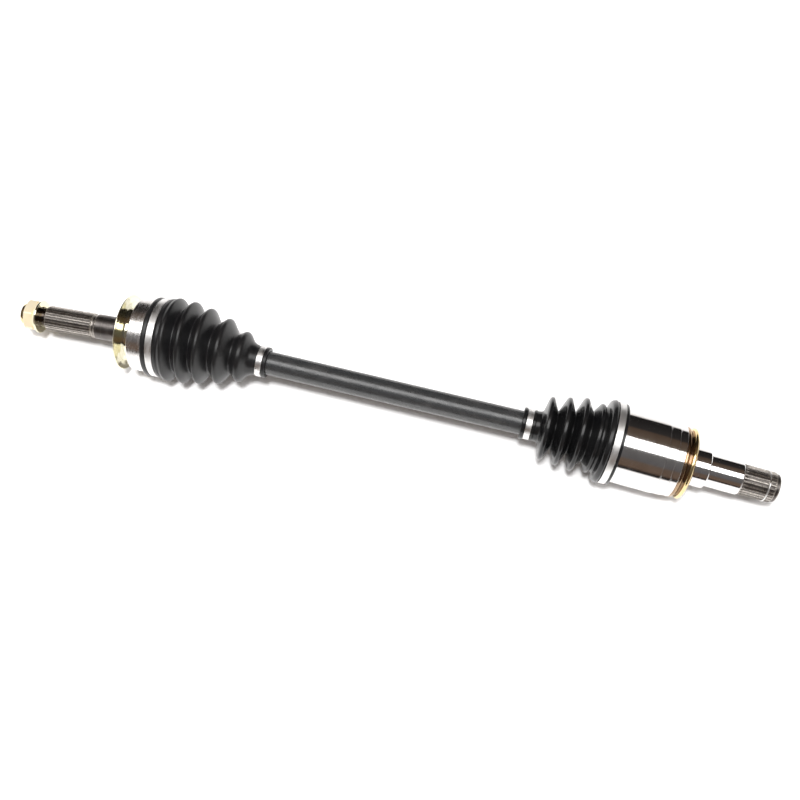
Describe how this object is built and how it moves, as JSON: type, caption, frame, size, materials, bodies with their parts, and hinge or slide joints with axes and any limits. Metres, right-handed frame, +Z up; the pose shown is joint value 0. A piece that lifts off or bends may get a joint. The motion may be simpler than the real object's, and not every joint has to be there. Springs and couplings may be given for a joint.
{
  "type": "cv axle",
  "caption": "Half-shaft with a ball joint and splined hub stub at one end, a plunging tripod joint and splined gearbox stub at the other, each under a ribbed rubber boot.",
  "frame": {"origin": "on the surface the axle lies on, under the middle of its bounding box", "axes": "+X runs along the bar from the hub end to the gearbox end, +Z is up, +Y completes the right hand"},
  "size_m": [0.8552, 0.0938, 0.0936],
  "materials": {
    "ground_steel": "ground and polished",
    "bearing_steel": "ground and lapped",
    "forged_steel": "dark forged and machined, lightly oiled",
    "stainless": "rolled stainless strip",
    "spring_steel": "dark oiled spring steel",
    "yellow_zinc": "yellow zinc plated",
    "pale_zinc": "pale yellow zinc plated",
    "black_paint": "satin black paint",
    "boot_rubber": "matte moulded elastomer"
  },
  "bodies": {
    "bar": {"bar_shaft": "black_paint", "outer_inner_race": "bearing_steel", "outer_race_circlip": "spring_steel", "outer_boot_small_clamp": "stainless", "inner_boot_small_clamp": "stainless", "tripod_spider": "forged_steel", "spider_circlip": "spring_steel", "roller_needles_2": "bearing_steel", "roller_needles_3": "bearing_steel", "roller_clip_1": "spring_steel", "roller_clip_2": "spring_steel", "roller_clip_3": "spring_steel"},
    "ball_pivot": {"outer_ball_1": "bearing_steel", "outer_ball_4": "bearing_steel"},
    "ball_cage": {"outer_cage": "forged_steel", "outer_ball_2": "bearing_steel", "outer_ball_3": "bearing_steel", "outer_ball_5": "bearing_steel", "outer_ball_6": "bearing_steel"},
    "outer_boot_bend": {"outer_boot": "boot_rubber"},
    "hub_stub": {"outer_race": "ground_steel", "dust_shield": "yellow_zinc", "outer_boot_large_clamp": "stainless"},
    "nut_washer": {"nut_washer": "yellow_zinc"},
    "hub_nut": {"hub_nut": "pale_zinc"},
    "tripod_pivot": {"roller_needles_1": "bearing_steel"},
    "roller_1": {"tripod_roller_1": "bearing_steel"},
    "roller_2": {"tripod_roller_2": "bearing_steel"},
    "roller_3": {"tripod_roller_3": "bearing_steel"},
    "inner_boot_bend": {"inner_boot": "boot_rubber"},
    "gearbox_housing": {"inner_housing": "ground_steel", "inner_boot_large_clamp": "stainless", "housing_stop_ring": "spring_steel", "dust_deflector": "yellow_zinc", "stub_circlip": "spring_steel"}
  },
  "joints": [
    {"name": "outer_pitch", "type": "hinge", "parent": "bar", "child": "ball_pivot", "pos_m": [-0.26898, -0.0008, 0.04556], "axis": [0, 1, 0], "range_deg": [-12.35, 15.65]},
    {"name": "outer_yaw", "type": "hinge", "parent": "ball_pivot", "child": "outer_boot_bend", "pos_m": [-0.26898, -0.0008, 0.04556], "axis": [-0.0288, 0, 0.9996], "range_deg": [-30.1, 25.9], "deforming": ["outer_boot"]},
    {"name": "outer_pitch_far", "type": "hinge", "parent": "outer_boot_bend", "child": "hub_stub", "pos_m": [-0.26898, -0.0008, 0.04556], "axis": [-0.0366, 0.9993, -0.0011], "range_deg": [-12.35, 15.65]},
    {"name": "cage_yaw", "type": "hinge", "parent": "ball_pivot", "child": "ball_cage", "pos_m": [-0.26898, -0.0008, 0.04556], "axis": [-0.0288, 0, 0.9996], "range_deg": [-15.05, 12.95]},
    {"name": "nut_travel", "type": "slide", "parent": "hub_stub", "child": "nut_washer", "axis": [-0.9977, -0.0366, -0.0575], "range_m": [-0.0045, 0.021]},
    {"name": "nut_turn", "type": "hinge", "parent": "nut_washer", "child": "hub_nut", "pos_m": [-0.41663, -0.00622, 0.03704], "axis": [-0.9977, -0.0366, -0.0575], "range_deg": [-1080, 5040]},
    {"name": "inner_yaw", "type": "hinge", "parent": "bar", "child": "tripod_pivot", "pos_m": [0.27202, -0.0008, 0.04556], "axis": [0, 0, 1], "range_deg": [-9.8, 12.2]},
    {"name": "inner_pitch", "type": "hinge", "parent": "tripod_pivot", "child": "inner_boot_bend", "pos_m": [0.27202, -0.0008, 0.04556], "axis": [0.0209, 0.9998, 0], "range_deg": [-14.3, 7.7], "deforming": ["inner_boot"]},
    {"name": "plunge", "type": "slide", "parent": "inner_boot_bend", "child": "gearbox_housing", "axis": [0.9981, -0.0209, -0.0576], "range_m": [-0.011, 0.011]},
    {"name": "roller_1_roll", "type": "hinge", "parent": "tripod_pivot", "child": "roller_1", "pos_m": [0.27202, -0.0008, 0.06956], "axis": [0, 0, 1], "range_deg": [-50, 50]},
    {"name": "roller_2_roll", "type": "hinge", "parent": "bar", "child": "roller_2", "pos_m": [0.27202, -0.02159, 0.03356], "axis": [0, -0.866, -0.5], "range_deg": [-50, 50]},
    {"name": "roller_3_roll", "type": "hinge", "parent": "bar", "child": "roller_3", "pos_m": [0.27202, 0.01998, 0.03356], "axis": [0, 0.866, -0.5], "range_deg": [-50, 50]}
  ],
  "couplings": [
    {"joint": "outer_pitch_far", "follows": "outer_pitch", "ratio": 1},
    {"joint": "cage_yaw", "follows": "outer_yaw", "ratio": 0.5},
    {"joint": "nut_travel", "follows": "nut_turn", "m_per_rad": 0.00023873},
    {"joint": "roller_1_roll", "follows": "plunge", "rad_per_m": 64.516},
    {"joint": "roller_2_roll", "follows": "plunge", "rad_per_m": 64.516},
    {"joint": "roller_3_roll", "follows": "plunge", "rad_per_m": 64.516}
  ]
}
